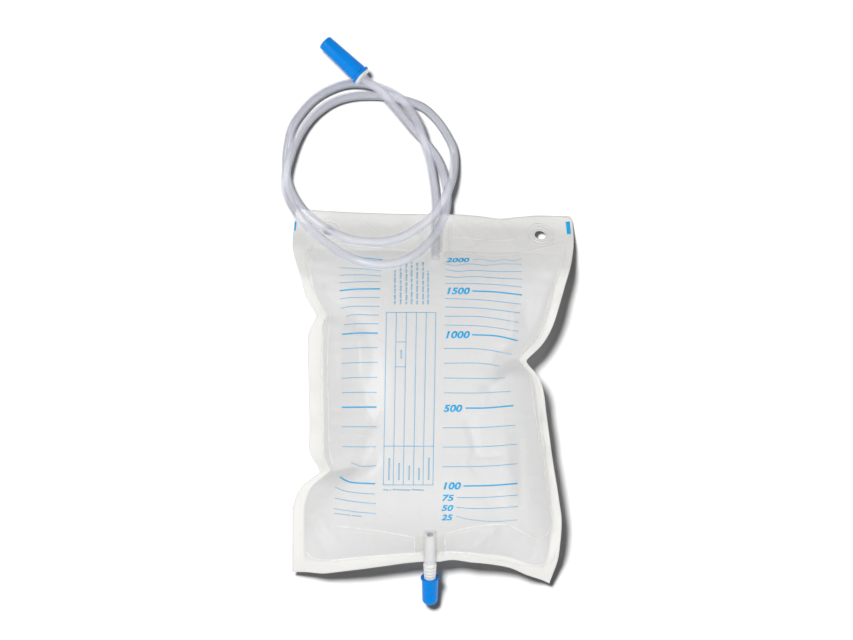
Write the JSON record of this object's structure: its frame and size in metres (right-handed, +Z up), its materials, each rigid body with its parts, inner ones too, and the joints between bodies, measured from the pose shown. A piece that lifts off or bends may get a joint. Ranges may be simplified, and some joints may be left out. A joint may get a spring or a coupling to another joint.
{
  "type": "urine drainage bag",
  "caption": "Clear film drainage bag lying part full of air, with hanging holes, a coiled inlet tube with a capped connector, and a capped ribbed outlet.",
  "frame": {"origin": "on the table under the middle of the bag's own box, without the coiled tube and its connector", "axes": "+Z up from the table the bag lies on, +Y along the bag from the outlet to the hanging edge, +X to the right as the print faces the reader"},
  "size_m": [0.2142, 0.4166, 0.0762],
  "materials": {
    "front_film": "clear soft PVC film, slightly milky",
    "back_film": "clear soft PVC film, slightly milky",
    "inlet_tube": "translucent soft PVC tube",
    "catheter_connector": "white moulded plastic",
    "connector_cap": "blue moulded plastic",
    "outlet_tube": "translucent soft PVC tube",
    "outlet_nozzle": "white moulded plastic",
    "outlet_cap": "blue soft plastic"
  },
  "bodies": {
    "bag": {"front_film": "front_film", "back_film": "back_film", "inlet_tube": "inlet_tube", "catheter_connector": "catheter_connector", "outlet_tube": "outlet_tube", "outlet_nozzle": "outlet_nozzle"},
    "outlet_closure": {"outlet_cap": "outlet_cap"},
    "connector_closure": {"connector_cap": "connector_cap"}
  },
  "joints": [
    {"name": "outlet_cap_pull", "type": "slide", "parent": "bag", "child": "outlet_closure", "axis": [0, -0.8191, -0.5736], "range_m": [0, 0.0125]},
    {"name": "connector_cap_pull", "type": "slide", "parent": "bag", "child": "connector_closure", "axis": [-0.7289, 0.6703, -0.1392], "range_m": [0, 0.034]}
  ]
}
